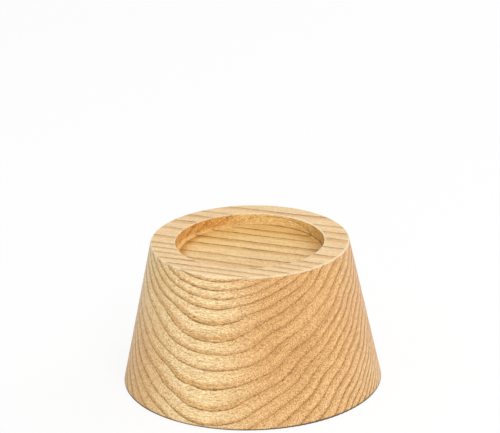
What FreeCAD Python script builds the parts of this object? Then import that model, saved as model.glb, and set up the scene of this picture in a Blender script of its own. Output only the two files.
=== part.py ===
"""A bed riser turned from one block of solid wood.

A round block that widens from its flat rim down to its base, with a shallow blind socket
in the top for the foot of a bed leg. Every sharp corner is eased by hand sanding.
Millimetres, +Z up, the origin at the centre of the base where it stands on the floor.
"""

import FreeCAD, Part
import os
import Sketcher

# Driving sizes, in millimetres
SIZES = {
    "lift_height": 69.85,  # wood left under the bed leg
    "socket_depth": 6.35,
    "socket_diameter": 76.2,
    "rim_width": 12.7,  # flat ring round the socket
    "side_flare": 16.1,  # how far the base reaches out past the rim
    "rim_edge_radius": 0.8,
    "mouth_edge_radius": 0.6,
    "socket_corner_radius": 1.2,  # between the socket's wall and its floor
    "base_edge_radius": 0.8,
}

# Sizes that follow from the driving ones
HEIGHT = "sizes.lift_height + sizes.socket_depth"
SOCKET_RADIUS = "sizes.socket_diameter / 2"
RIM_RADIUS = f"{SOCKET_RADIUS} + sizes.rim_width"
BASE_RADIUS = f"{RIM_RADIUS} + sizes.side_flare"

SAME_PLACE = 1e-4  # two lengths closer than this are one
FULL_TURN = 360  # degrees


def make_sizes_sheet(doc):
    """The sheet of driving sizes, one row each, that every sketch and feature is bound to."""
    sheet = doc.addObject("Spreadsheet::Sheet", "sizes")
    for row, (alias, value) in enumerate(SIZES.items(), start=1):
        sheet.set(f"A{row}", alias)
        sheet.set(f"B{row}", str(value))
        sheet.setAlias(f"B{row}", alias)
    doc.recompute()


def half_section(body, name, corners):
    """A closed sketch of straight lines in the XZ plane, to be turned about Z.

    Each corner is a pair of expressions, its distance from the axis and its height,
    with None for a corner that lies on the axis or on the base.
    """
    sketch = body.newObject("Sketcher::SketchObject", name)
    plane = next(f for f in body.Origin.OriginFeatures if f.Role == "XZ_Plane")
    sketch.AttachmentSupport = (plane, "")
    sketch.MapMode = "FlatFace"

    start, end = 1, 2  # the two ends of a sketched line
    x_axis, y_axis = -1, -2  # the sketch's own axes, which start at its origin
    places = [
        FreeCAD.Vector(sketch.evalExpression(across or "0"), sketch.evalExpression(up or "0"), 0)
        for across, up in corners
    ]
    count = len(corners)
    for i in range(count):
        sketch.addGeometry(Part.LineSegment(places[i], places[(i + 1) % count]))
    for i in range(count):
        sketch.addConstraint(Sketcher.Constraint("Coincident", i, end, (i + 1) % count, start))

    for i, (across, up) in enumerate(corners):
        for kind, axis, expression in (("DistanceX", y_axis, across), ("DistanceY", x_axis, up)):
            if expression is None:
                sketch.addConstraint(Sketcher.Constraint("PointOnObject", i, start, axis))
                continue
            datum = places[i].x if kind == "DistanceX" else places[i].y
            size = Sketcher.Constraint(kind, x_axis, start, i, start, datum)
            number = sketch.addConstraint(size)
            sketch.setExpression(f"Constraints[{number}]", expression)
    return sketch


def turn(body, kind, name, profile):
    """A full turn of a half section about Z that adds wood (Revolution) or cuts it away (Groove)."""
    feature = body.newObject(kind, name)
    feature.Profile = profile
    feature.ReferenceAxis = (profile, ["V_Axis"])
    feature.Angle = FULL_TURN
    profile.Document.recompute()


def circle_edge(shape, radius, height):
    """The name of the round edge of that radius at that height."""
    for number, edge in enumerate(shape.Edges, start=1):
        if not isinstance(edge.Curve, Part.Circle):
            continue
        off = abs(edge.Curve.Radius - radius) + abs(edge.Curve.Center.z - height)
        if off < SAME_PLACE:
            return f"Edge{number}"
    raise RuntimeError(f"no round edge of radius {radius} at height {height}")


def ease_edge(body, name, size, radius, height):
    """Rounds the edge that runs round the axis at that radius and height, both expressions."""
    before = body.Tip
    fillet = body.newObject("PartDesign::Fillet", name)
    place = (body.evalExpression(radius), body.evalExpression(height))
    fillet.Base = (before, [circle_edge(before.Shape, *place)])
    fillet.setExpression("Radius", f"sizes.{size}")
    body.Document.recompute()


def make_riser_block(doc):
    """The whole riser: the block is turned, its socket is cut, and its four round edges are eased."""
    body = doc.addObject("PartDesign::Body", "riser_block")
    body.Label = "riser_block"

    blank = half_section(
        body,
        "blank_section",
        [(None, None), (BASE_RADIUS, None), (RIM_RADIUS, HEIGHT), (None, HEIGHT)],
    )
    turn(body, "PartDesign::Revolution", "turned_blank", blank)
    blank_volume = body.Shape.Volume

    socket = half_section(
        body,
        "socket_section",
        [
            (None, "sizes.lift_height"),
            (SOCKET_RADIUS, "sizes.lift_height"),
            (SOCKET_RADIUS, HEIGHT),
            (None, HEIGHT),
        ],
    )
    turn(body, "PartDesign::Groove", "leg_socket", socket)
    if body.Shape.Volume >= blank_volume:
        raise RuntimeError("the leg socket cut nothing away")

    ease_edge(body, "rim_edge", "rim_edge_radius", RIM_RADIUS, HEIGHT)
    ease_edge(body, "mouth_edge", "mouth_edge_radius", SOCKET_RADIUS, HEIGHT)
    ease_edge(body, "socket_corner", "socket_corner_radius", SOCKET_RADIUS, "sizes.lift_height")
    ease_edge(body, "base_edge", "base_edge_radius", BASE_RADIUS, "0")
    return body


def check(doc, bodies):
    """Stops if any object failed, or a piece isn't one closed valid solid."""
    for item in doc.Objects:
        if {"Invalid", "Error"} & set(item.State):
            raise RuntimeError(f"{item.Name} failed: {item.State}")
    for body in bodies:
        shape = body.Shape
        if shape.isNull() or not shape.isValid() or len(shape.Solids) != 1:
            raise RuntimeError(f"{body.Label} isn't one valid solid")


def main():
    doc = FreeCAD.newDocument("bed_riser")
    make_sizes_sheet(doc)
    bodies = [make_riser_block(doc)]
    doc.recompute()
    check(doc, bodies)
    os.makedirs("parts", exist_ok=True)
    for body in bodies:
        body.Shape.exportStep(f"parts/{body.Label}.step")
        box = body.Shape.optimalBoundingBox()
        print(
            f"{body.Label}: {box.XLength:.2f} x {box.YLength:.2f} x {box.ZLength:.2f} mm,"
            f" {body.Shape.Volume / 1000:.1f} cm3, {len(body.Shape.Faces)} faces"
        )


main()
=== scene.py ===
"""Looks of a turned bed riser: a block of pale ash on a white studio floor."""

import math
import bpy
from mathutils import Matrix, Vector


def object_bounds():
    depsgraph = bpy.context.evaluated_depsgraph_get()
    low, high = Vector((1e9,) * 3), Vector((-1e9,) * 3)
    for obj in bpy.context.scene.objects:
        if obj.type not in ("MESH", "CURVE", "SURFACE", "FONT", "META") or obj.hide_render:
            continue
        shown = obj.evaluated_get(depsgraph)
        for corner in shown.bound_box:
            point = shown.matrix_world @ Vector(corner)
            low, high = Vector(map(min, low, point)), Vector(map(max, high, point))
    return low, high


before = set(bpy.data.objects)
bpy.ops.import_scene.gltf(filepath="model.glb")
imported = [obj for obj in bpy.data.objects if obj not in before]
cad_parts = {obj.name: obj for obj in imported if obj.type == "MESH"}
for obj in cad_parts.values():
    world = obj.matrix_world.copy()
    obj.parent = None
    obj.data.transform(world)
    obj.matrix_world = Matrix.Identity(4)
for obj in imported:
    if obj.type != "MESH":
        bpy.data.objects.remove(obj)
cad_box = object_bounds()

from types import SimpleNamespace

import bmesh
import bpy
from mathutils import Matrix, Vector

FULL_TURN = 2 * math.pi
MM_PER_METRE = 1000

# The photograph's view: pixels of its frame, degrees and metres
FRAME_WIDTH, FRAME_HEIGHT = 500, 433
FOCAL_LENGTH_PX = 2870
VIEW_ELEVATION = 20.87
VIEW_ROLL = -1.28
VIEW_DISTANCE = 1.48
MIDDLE_PX = (251.3, 308.8)  # where the middle of the riser falls
SENSOR_WIDTH = 36  # millimetres

# How the block was sawn from the tree, in millimetres and degrees
GRAIN_TURN = 24  # the fibres run along X, turned this far towards the viewer
GRAIN_RISE = -0.02  # rise of the fibres for each millimetre along them
PITH = (246, -321)  # the tree's centre, across the fibres and up
MIDDLE_RING = 450  # distance from the pith to the rings in the middle of the block
RING_WIDTH = 3.82
RING_OFFSET = 0.66  # share of a ring that the middle falls past a growth line
RING_SWELLS = [(128, -1.42, 8), (39, 0.215, 3)]  # length, rings gained, lag: rings widen mid-block
WAVE_TURN = 33.3  # the waves in the rings run this far up from level
RING_WAVES = [(41.8, 0.66, 184), (20.5, 0.41, 328)]  # length, height, phase
RING_EDDIES = [  # middle in X and Z, reach each way, rings gained there
    (-21, 4, 27, 17, 0.52),
    (-20, 48, 32, 13, 0.29),
    (4, 62, 20, 9, -0.17),
    (-48, 28, 12, 12, -0.25),
]
RING_WANDER = 1.2  # how far the rings stray over a hand's breadth
RING_RAGGEDNESS = 0.6  # how far their edges stray over a few millimetres

# Sizes of the grain in millimetres, along the fibres and across them
WANDER_SIZE = (60, 14)
RAGGED_SIZE = (4, 0.4)
LINE_SIZE = (14, 2.5)  # of the stretches where a growth line is strong or weak
FIBRE_SIZE = (14, 0.42)
STREAK_SIZE = (40, 1.5)
TONE_SIZE = (50, 16)
GRIT_SIZE = (0.8, 0.22)
ROW_SIZE = (30, 0.7, 14)  # along the fibres, through the rings and round them

# Growth lines and pores, in millimetres or in shares of a ring
LINE_GATHERS = (0.0, 0.2)  # millimetres before a ring starts
LINE_FADES = (0.08, 0.44)  # millimetres after it starts
PORE_BAND, PORE_BAND_VIGOUR = 0.08, 0.22  # share of a ring, in a poor year and more in a good one
PORE_BAND_FADES = (-0.12, 0.28)  # share of a ring past the band's edge
PORE_ROW = 0.07  # share of a ring, half the width of the row along that edge
MEAN_EARLY = 0.4  # how dark an average place is, between late and early wood

# Wood colours as they look on a screen, 0 to 255: along the fibres, and across their cut ends
LATE_WOOD = (241, 206, 152)
LATE_WOOD_ENDS = (219, 170, 109)
EARLY_WOOD = (214, 164, 96)
EARLY_WOOD_ENDS = (195, 141, 79)
GROWTH_LINE = (98, 66, 30)
GROWTH_LINE_ENDS = (134, 88, 42)
LEVEL_SHEEN = (248, 209, 165)  # painted sheen on level faces
RUBBED_AND_HIGHLIGHT = (255, 240, 208)  # along the edges: rubbed wear and a painted highlight
AMBER_BOUNCE = (255, 236, 150)  # tint of painted warm bounce light and shade
SOCKET_SHADE = (206, 176, 108)  # painted shade in the socket
CREASE_SHADE = (136, 84, 30)  # painted shade in the socket's corner
FOOT_SHADOW = (60, 42, 28)  # painted contact shadow where it meets the floor
GRAIN_STAIN = (0.85, 1.0, 1.3)  # how far the fine grain moves red, green and blue

# Where the rim, the socket and its corner are, in millimetres
RIM_RADIUS = 50.8
RIM_TOP = 76.2
SOCKET_RADIUS = 38.1
SOCKET_FLOOR = 69.85
CREASE_RADIUS = 37.5  # where the socket's wall meets its floor

# How the pores and lines stand in the surface
RELIEF = 0.0001  # metres
RELIEF_STRENGTH = 0.5

# Studio: the floor in metres, its white, and the share of it that the camera sees as a plain page
FLOOR_SIZE = 12.0
FLOOR_DROP = 0.00005  # keeps the floor from sharing the base's plane
FLOOR_WHITE = (0.95, 0.95, 0.95, 1)
PURE_WHITE = (1, 1, 1, 1)  # the page and the sky
PAGE_SHARE = 0.85

# Light, as shares of the light that shows a colour just as it is written
SKY_SHARE = 0.64
SOFTBOXES = {  # share of light, degrees to the viewer's right and up
    "key": (0.48, 15, 45),
    "side": (0.3, 115, 25),
}
SOFTBOX_DISTANCE, SOFTBOX_SIZE = 1.9, 1.2  # metres


class Value:
    """A shader socket that takes part in arithmetic: each operation adds a Math node."""

    def __init__(self, finish, socket):
        self.finish = finish
        self.socket = socket

    def math(self, operation, *values):
        inputs = dict(enumerate((self,) + values))
        return self.finish.node("ShaderNodeMath", {"operation": operation}, inputs)

    def reflected(self, operation, value):
        return self.finish.node("ShaderNodeMath", {"operation": operation}, {0: value, 1: self})

    def __add__(self, other):
        return self.math("ADD", other)

    def __sub__(self, other):
        return self.math("SUBTRACT", other)

    def __mul__(self, other):
        return self.math("MULTIPLY", other)

    def __truediv__(self, other):
        return self.math("DIVIDE", other)

    def __pow__(self, other):
        return self.math("POWER", other)

    def __rsub__(self, other):
        return self.reflected("SUBTRACT", other)

    def __rtruediv__(self, other):
        return self.reflected("DIVIDE", other)

    __radd__ = __add__
    __rmul__ = __mul__

    def rise(self, low, high):
        """0 below low, 1 above high, with a smooth step between."""
        settings = {"interpolation_type": "SMOOTHSTEP"}
        inputs = {"Value": self, "From Min": low, "From Max": high}
        return self.finish.node("ShaderNodeMapRange", settings, inputs)

    def fall(self, low, high):
        """1 below low, 0 above high, with a smooth step between."""
        return 1 - self.rise(low, high)


class Finish:
    """A material and its nodes."""

    MIX_COLOUR = 2  # the Mix node's output for colours, since all its outputs have one name

    def __init__(self, name):
        self.material = bpy.data.materials.new(name)
        self.material.use_nodes = True
        self.tree = self.material.node_tree
        self.tree.nodes.clear()

    def node(self, kind, settings=None, inputs=None, output=0):
        """Adds a node, sets it up, fills its sockets by number or name, and returns one output."""
        node = self.tree.nodes.new(kind)
        for name, value in (settings or {}).items():
            setattr(node, name, value)
        for key, value in (inputs or {}).items():
            if isinstance(key, int):
                socket = node.inputs[key]
            else:
                socket = next(s for s in node.inputs if key in (s.identifier, s.name))
            if isinstance(value, Value):
                self.tree.links.new(value.socket, socket)
            else:
                socket.default_value = value
        return Value(self, node.outputs[output]) if node.outputs else None

    def mix(self, first, second, amount):
        """A colour between two others."""
        inputs = {"Factor_Float": amount, "A_Color": first, "B_Color": second}
        return self.node("ShaderNodeMix", {"data_type": "RGBA"}, inputs, output=self.MIX_COLOUR)

    def tint(self, colour, stain, amount=1):
        """A colour stained by another."""
        settings = {"data_type": "RGBA", "blend_type": "MULTIPLY", "clamp_result": True}
        inputs = {"Factor_Float": amount, "A_Color": colour, "B_Color": stain}
        return self.node("ShaderNodeMix", settings, inputs, output=self.MIX_COLOUR)

    def noise(self, place, detail=2):
        """Soft noise around 0.5 at a place given in units of its grain size."""
        inputs = {"Vector": place, "Scale": 1, "Detail": detail, "Roughness": 0.5}
        return self.node("ShaderNodeTexNoise", {"noise_dimensions": "3D"}, inputs)

    def swing(self, place, detail=2):
        """The same noise spread out to run from -1 to 1."""
        return self.noise(place, detail).rise(0.3, 0.7) * 2 - 1

    def grit(self, place):
        """A random value, 0 to 1, for each small cell of space."""
        inputs = {"Vector": place, "Scale": 1}
        cells = self.node("ShaderNodeTexVoronoi", None, inputs, output="Color")
        return self.node("ShaderNodeSeparateColor", None, {0: cells})

    def shade(self, shader):
        self.node("ShaderNodeOutputMaterial", None, {"Surface": shader})
        return self.material


def screen_colour(red, green, blue):
    """A shader colour from its screen value, 0 to 255, by the sRGB curve."""
    def linear(channel):
        share = channel / 255
        return share / 12.92 if share <= 0.04045 else ((share + 0.055) / 1.055) ** 2.4

    return (linear(red), linear(green), linear(blue), 1)


# The ash: rise and fall take millimetres for places, shares of a ring for seasons, cosines for lean


def find_places(wood):
    """Where a point lies in the block, in millimetres: by its axes, its fibres and its turning."""
    metres = wood.node("ShaderNodeTexCoord", output="Object")
    inputs = {"Vector": metres, "Scale": MM_PER_METRE}
    place = wood.node("ShaderNodeVectorMath", {"operation": "SCALE"}, inputs)
    x, y, z = (wood.node("ShaderNodeSeparateXYZ", None, {0: place}, output=axis) for axis in "XYZ")

    turn = math.radians(GRAIN_TURN)
    along = x * math.cos(turn) - y * math.sin(turn)
    across = x * math.sin(turn) + y * math.cos(turn)
    from_axis = (x ** 2 + y ** 2).math("SQRT")
    return SimpleNamespace(
        x=x,
        y=y,
        z=z,
        along=along,
        across=across,
        up=z - along * GRAIN_RISE,
        from_axis=from_axis,
        to_right=x / from_axis,  # -1 at the riser's left, 1 at its right
    )


def grain_place(wood, at, size):
    """A place in units of a grain size, along the fibres and across them."""
    along_size, across_size = size
    parts = {0: at.along / along_size, 1: at.across / across_size, 2: at.up / across_size}
    return wood.node("ShaderNodeCombineXYZ", None, parts)


def find_faces(wood, at):
    """How the surface meets the fibres, and which part of the riser it is, each from 0 to 1."""
    turn = math.radians(GRAIN_TURN)
    fibre = (math.cos(turn), -math.sin(turn), GRAIN_RISE)
    outward = wood.node("ShaderNodeTexCoord", output="Normal")
    inputs = {0: outward, 1: fibre}
    lean = wood.node("ShaderNodeVectorMath", {"operation": "DOT_PRODUCT"}, inputs, output="Value")
    lean_left = 0 - lean

    within = at.from_axis.fall(SOCKET_RADIUS - 0.1, SOCKET_RADIUS + 0.3)
    in_socket = within * at.z.fall(RIM_TOP - 0.8, RIM_TOP - 0.2)
    on_wall = at.from_axis.rise(SOCKET_RADIUS - 2.5, SOCKET_RADIUS - 0.6)
    in_corner = at.from_axis.rise(CREASE_RADIUS - 0.3, CREASE_RADIUS)
    crease = in_corner * at.z.fall(SOCKET_FLOOR + 0.5, SOCKET_FLOOR + 0.9)

    # Fibres that end at a side show their cut ends there, which drink in more of the finish. The same
    # darker tone is also painted shade on the riser's left side, strongest low down and towards the
    # back, and on the socket's right wall. The right side is paled near the foot by painted bounce
    # light from the floor.
    ends_right_painted_bounce = 1 - 0.3 * at.z.fall(4, 34)
    painted_shade_left = 0.1 + 0.45 * at.z.fall(20, 66) + 0.35 * at.y.rise(5, 45)
    ends_and_shade_outside = lean.rise(0.0, 0.6) * ends_right_painted_bounce + lean_left.rise(0.2, 0.65) * painted_shade_left
    ends_and_shade_in_socket = lean.rise(0.35, 0.9) + lean_left.rise(0.25, 0.7) * 0.1
    ends_and_shade = ends_and_shade_outside + (ends_and_shade_in_socket - ends_and_shade_outside) * in_socket

    facing_up = wood.node("ShaderNodeSeparateXYZ", None, {0: outward}, output="Z").rise(0.4, 0.95)
    cut = lean ** 2
    return SimpleNamespace(
        lean=lean,
        lean_left=lean_left,
        cut=cut,
        ends_and_shade=ends_and_shade,
        facing_up=facing_up,
        smooth=(1 - ends_and_shade) * (1 - facing_up),  # sides that the fibres lie in
        low_sides=at.z.fall(5, 40) * cut.rise(0.2, 0.6),
        in_socket=in_socket,
        on_wall=on_wall,
        socket_wall=in_socket * on_wall,
        crease=crease * in_socket,
    )


def grow_rings(wood, at):
    """Circles about the pith, pushed up and down by slow waves and a wander, and bent by eddies."""
    wave_turn = math.radians(WAVE_TURN)
    wave_run = at.across * math.cos(wave_turn) + at.up * math.sin(wave_turn)
    wander = wood.noise(grain_place(wood, at, WANDER_SIZE), detail=1)
    lift = wander * RING_WANDER - RING_WANDER / 2
    for length, height, phase in RING_WAVES:
        wave = wave_run * (FULL_TURN / length) + math.radians(phase)
        lift = lift + height * wave.math("SINE")

    pith_across, pith_up = PITH
    from_pith = ((at.across - pith_across) ** 2 + (at.up - lift - pith_up) ** 2).math("SQRT")
    past_middle = from_pith - MIDDLE_RING
    raggedness = wood.noise(grain_place(wood, at, RAGGED_SIZE), detail=1) - 0.5
    ragged = past_middle + raggedness * RING_RAGGEDNESS

    ring = ragged / RING_WIDTH + RING_OFFSET
    rings_per_mm = 1 / RING_WIDTH
    for length, gain, lag in RING_SWELLS:
        turns = FULL_TURN / length
        swell = ragged * turns - math.radians(lag)
        ring = ring + gain * swell.math("SINE")
        rings_per_mm = rings_per_mm + gain * turns * swell.math("COSINE")
    for middle_x, middle_z, reach_x, reach_z, gain in RING_EDDIES:
        away = ((at.x - middle_x) / reach_x) ** 2 + ((at.z - middle_z) / reach_z) ** 2
        ring = ring + gain * away.fall(0, 1)
        away = away.math("MINIMUM", 1)
        step_slope = 6 * away * (1 - away)
        slope_up = step_slope * 2 * (at.z - middle_z) / reach_z ** 2
        rings_per_mm = rings_per_mm - gain * slope_up

    year = ring.math("FLOOR")
    season = ring - year
    return SimpleNamespace(
        past_middle=past_middle,
        season=season,  # 0 where a ring starts, 1 where it ends
        since_line=season / rings_per_mm,
        until_line=(1 - season) / rings_per_mm,
        vigour=wood.node("ShaderNodeTexWhiteNoise", {"noise_dimensions": "1D"}, {"W": year}),
    )


def open_pores(wood, at, face, rings):
    """Each ring starts at a dark line and a band of open pores, and pales towards its end."""
    bold_ends = 0.5 * face.lean.rise(0.85, 1.0) - 0.35
    bold = 0.95 + bold_ends * face.ends_and_shade - 0.2 * face.socket_wall + 0.35 * face.low_sides

    past_band = rings.season - (PORE_BAND + PORE_BAND_VIGOUR * rings.vigour)
    pore_row = past_band.math("ABSOLUTE").fall(0.0, PORE_ROW) * face.smooth

    line = rings.since_line.fall(*LINE_FADES).math("MAXIMUM", rings.until_line.fall(*LINE_GATHERS))
    strength = 0.7 + 0.3 * rings.vigour
    unbroken = 0.55 + 0.5 * wood.noise(grain_place(wood, at, LINE_SIZE), detail=1).rise(0.35, 0.6)
    line = line * strength * unbroken * (bold - 0.12 * face.smooth) + pore_row * 0.12

    early_along = past_band.fall(*PORE_BAND_FADES)
    early_ends = rings.season.fall(0.05, 0.28).math("MAXIMUM", rings.season.rise(0.42, 1.0)) * 0.95
    early = early_along + (early_ends - early_along) * face.ends_and_shade
    early = MEAN_EARLY + (early - MEAN_EARLY) * bold
    early = early - 0.4 * face.socket_wall + 0.08 * face.low_sides

    along_size, through_size, round_size = ROW_SIZE
    parts = {0: at.along / along_size, 1: rings.past_middle / through_size, 2: at.across / round_size}
    rows = wood.swing(wood.node("ShaderNodeCombineXYZ", None, parts))
    early = early + rows * (0.3 * face.ends_and_shade + 0.8 * face.socket_wall)

    grit = wood.grit(grain_place(wood, at, GRIT_SIZE))
    pores = grit.rise(0.55, 0.95)
    flecks = grit.fall(0.05, 0.45)
    return SimpleNamespace(line=line, early=early, pore_row=pore_row, pores=pores, flecks=flecks)


def bare_wood_colour(wood, at, face, growth):
    """Pale late wood, darker early wood and dark growth lines, flecked by the fine grain."""
    late_colour = wood.mix(screen_colour(*LATE_WOOD), screen_colour(*LATE_WOOD_ENDS), face.ends_and_shade)
    early_colour = wood.mix(screen_colour(*EARLY_WOOD), screen_colour(*EARLY_WOOD_ENDS), face.ends_and_shade)
    line_colour = wood.mix(screen_colour(*GROWTH_LINE), screen_colour(*GROWTH_LINE_ENDS), face.ends_and_shade)
    streaks = wood.noise(grain_place(wood, at, STREAK_SIZE), detail=3)
    tone = wood.noise(grain_place(wood, at, TONE_SIZE))
    darkness = growth.early * 0.9 + streaks * 0.5 + tone * 0.7 - 0.6
    colour = wood.mix(late_colour, early_colour, darkness)
    colour = wood.mix(colour, line_colour, growth.line)

    dark_pores = growth.pores * (0.72 + 0.2 * growth.early + 0.4 * growth.pore_row)
    grain = (growth.flecks * 0.66 - dark_pores) * (0.5 + 0.6 * face.cut)
    grain = grain * (1 - 0.4 * face.facing_up) * (1 - 0.1 * face.socket_wall)
    fibres = wood.swing(grain_place(wood, at, FIBRE_SIZE), detail=1)
    grain = grain + fibres * (0.14 + 0.06 * face.smooth)
    stain = {channel: 1 + grain * share for channel, share in enumerate(GRAIN_STAIN)}
    return wood.tint(colour, wood.node("ShaderNodeCombineColor", None, stain))


def wear_and_painted_light(wood, at, face, colour):
    """Rubbed edges and painted light: sheen on level faces, a highlight on the edges, warm bounce and
    shade in the socket and on the left side, shade and a highlight in its corner, and a contact
    shadow along the foot.
    """
    # Painted sheen: level faces outside the socket are paled towards a pinkish cream.
    level_outside = face.facing_up * (1 - face.in_socket)
    colour = wood.mix(colour, screen_colour(*LEVEL_SHEEN), level_outside * 0.15)

    # The edges are rubbed pale, partly real wear and partly a painted highlight. The highlight is
    # strongest on the mouth's right side.
    rim_edge = at.from_axis.rise(RIM_RADIUS - 0.9, RIM_RADIUS - 0.5)
    rim_edge = rim_edge * at.z.rise(RIM_TOP - 1.0, RIM_TOP - 0.5)
    mouth_edge = at.from_axis.fall(SOCKET_RADIUS + 0.4, SOCKET_RADIUS + 0.8)
    mouth_edge = mouth_edge * at.z.rise(RIM_TOP - 0.7, RIM_TOP - 0.3)
    rubbed_and_highlight = rim_edge * 0.4 + mouth_edge * (0.3 + 0.6 * at.to_right.rise(0.3, 0.9))
    colour = wood.mix(colour, screen_colour(*RUBBED_AND_HIGHLIGHT), rubbed_and_highlight)

    # Painted warm bounce light and shade: amber on the socket's walls, towards the back of its floor,
    # and on the riser's left side.
    amber_floor = 0.12 + 0.36 * at.y.rise(-15, 26)
    amber_wall = 0.4 + 0.3 * face.cut
    amber_socket = amber_floor + (amber_wall - amber_floor) * face.on_wall
    painted_amber_left = face.lean_left.rise(0.3, 0.75) * 0.18
    painted_amber = painted_amber_left + (amber_socket - painted_amber_left) * face.in_socket
    colour = wood.tint(colour, screen_colour(*AMBER_BOUNCE), painted_amber)

    # Painted shade in the socket: on the right wall and on the floor beside it, and darker floor by
    # the left wall, at the front under the lip and at the back.
    near_wall = at.from_axis.rise(SOCKET_RADIUS - 12, SOCKET_RADIUS)
    by_wall = at.from_axis.rise(SOCKET_RADIUS - 8, SOCKET_RADIUS - 2)
    shade_by_right_wall = near_wall * at.to_right.rise(0.4, 1.0) * (0.55 - 0.25 * face.on_wall)
    shade_by_left_wall = by_wall * at.to_right.fall(-0.95, -0.4)
    shade_at_front = 0.2 * at.y.fall(-22, -4)
    shade_at_back = 0.12 * at.y.rise(8, 26)
    shade_on_floor = (shade_by_left_wall + shade_at_front + shade_at_back) * (1 - face.on_wall)
    painted_socket_shade = face.in_socket * (shade_by_right_wall + shade_on_floor)
    colour = wood.tint(colour, screen_colour(*SOCKET_SHADE), painted_socket_shade)

    # Painted shade along the socket's corner, turning to a painted highlight at its left.
    crease_highlight = face.lean.rise(0.5, 0.85)
    crease_shade_and_highlight = wood.mix(screen_colour(*CREASE_SHADE), screen_colour(*LATE_WOOD), crease_highlight)
    painted_crease = face.crease * (0.3 + 0.4 * at.to_right.rise(-0.3, 0.6))
    colour = wood.mix(colour, crease_shade_and_highlight, painted_crease)

    # Painted contact shadow: a dark line along the foot, a little taller at the left and right.
    at_sides = at.to_right.rise(0.0, 0.6) + at.to_right.fall(-0.9, -0.5)
    above_foot_shadow = at.z - 0.42 * at_sides
    return wood.mix(colour, screen_colour(*FOOT_SHADOW), above_foot_shadow.fall(0.5, 1.2) * 0.9)


def ash_wood():
    """Solid ash: growth rings about the pith, with open pores where each year's growth starts."""
    wood = Finish("ash_wood")
    at = find_places(wood)
    face = find_faces(wood, at)
    rings = grow_rings(wood, at)
    growth = open_pores(wood, at, face, rings)
    colour = bare_wood_colour(wood, at, face, growth)

    height = 0 - growth.pores * 0.5 - growth.line - growth.early * 0.6
    inputs = {"Strength": RELIEF_STRENGTH, "Distance": RELIEF, "Height": height}
    shader = wood.node(
        "ShaderNodeBsdfPrincipled",
        None,
        {
            "Base Color": wear_and_painted_light(wood, at, face, colour),
            "Roughness": 0.32 + 0.2 * growth.early + 0.1 * growth.pores + 0.4 * face.crease,
            "Specular IOR Level": 0.5,
            "Normal": wood.node("ShaderNodeBump", None, inputs),
        },
    )
    return wood.shade(shader)


def studio_white():
    """A white floor that reads as a white page to the camera and still takes the riser's shadow."""
    white = Finish("studio_white")
    shadowed = white.node("ShaderNodeBsdfDiffuse", None, {"Color": FLOOR_WHITE})
    page = white.node("ShaderNodeEmission", None, {"Color": PURE_WHITE, "Strength": 1.0})
    seen = white.node("ShaderNodeLightPath", output="Is Camera Ray")
    shader = white.node("ShaderNodeMixShader", None, {0: seen * PAGE_SHARE, 1: shadowed, 2: page})
    return white.shade(shader)


def add_floor():
    """A wide level floor just under the base."""
    plane = bmesh.new()
    bmesh.ops.create_grid(plane, x_segments=1, y_segments=1, size=FLOOR_SIZE / 2)
    bmesh.ops.translate(plane, verts=plane.verts, vec=(0, 0, -FLOOR_DROP))
    mesh = bpy.data.meshes.new("floor")
    plane.to_mesh(mesh)
    plane.free()
    mesh.materials.append(studio_white())
    floor = bpy.data.objects.new("floor", mesh)
    bpy.context.scene.collection.objects.link(floor)


def add_studio_light():
    """An even white sky, a large soft lamp in front and a weak one at the right."""
    world = bpy.data.worlds.new("studio")
    bpy.context.scene.world = world
    world.use_nodes = True
    background = world.node_tree.nodes["Background"]
    background.inputs["Color"].default_value = PURE_WHITE
    background.inputs["Strength"].default_value = SKY_SHARE

    for name, (share, turn, rise) in SOFTBOXES.items():
        turn, rise = math.radians(turn), math.radians(rise)
        level = math.cos(rise)
        towards = Vector((math.sin(turn) * level, -math.cos(turn) * level, math.sin(rise)))
        lamp = bpy.data.lights.new(name, "AREA")
        lamp.size = SOFTBOX_SIZE
        lamp.energy = share * (math.pi * SOFTBOX_DISTANCE) ** 2
        softbox = bpy.data.objects.new(name, lamp)
        softbox.location = towards * SOFTBOX_DISTANCE
        softbox.rotation_euler = towards.to_track_quat("Z", "Y").to_euler()
        bpy.context.scene.collection.objects.link(softbox)


def add_camera():
    """A long lens that puts the middle of the riser where the photograph has it."""
    elevation = math.radians(VIEW_ELEVATION)
    roll = math.radians(VIEW_ROLL)
    forward = Vector((0, math.cos(elevation), -math.sin(elevation)))
    level = Vector((1, 0, 0))
    upright = Vector((0, math.sin(elevation), math.cos(elevation)))
    right = level * math.cos(roll) + upright * math.sin(roll)
    up = upright * math.cos(roll) - level * math.sin(roll)

    low, high = (Vector(corner) for corner in cad_box)
    across_px = MIDDLE_PX[0] - FRAME_WIDTH / 2
    up_px = FRAME_HEIGHT / 2 - MIDDLE_PX[1]
    to_middle = forward + (right * across_px + up * up_px) / FOCAL_LENGTH_PX
    place = (low + high) / 2 - to_middle * VIEW_DISTANCE
    facing = Matrix((right, up, -forward)).transposed().to_4x4()

    camera = bpy.data.objects.new("camera", bpy.data.cameras.new("camera"))
    camera.data.sensor_width = SENSOR_WIDTH
    camera.data.lens = FOCAL_LENGTH_PX * SENSOR_WIDTH / FRAME_WIDTH
    camera.matrix_world = Matrix.Translation(place) @ facing
    bpy.context.scene.collection.objects.link(camera)
    bpy.context.scene.camera = camera


def dress_riser():
    """The turned block keeps its CAD shape and gets the wood."""
    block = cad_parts["riser_block"]
    wood = ash_wood()
    for slot in block.material_slots:
        slot.material = wood


dress_riser()
add_floor()
add_studio_light()
add_camera()
bpy.context.scene.view_settings.view_transform = "Standard"
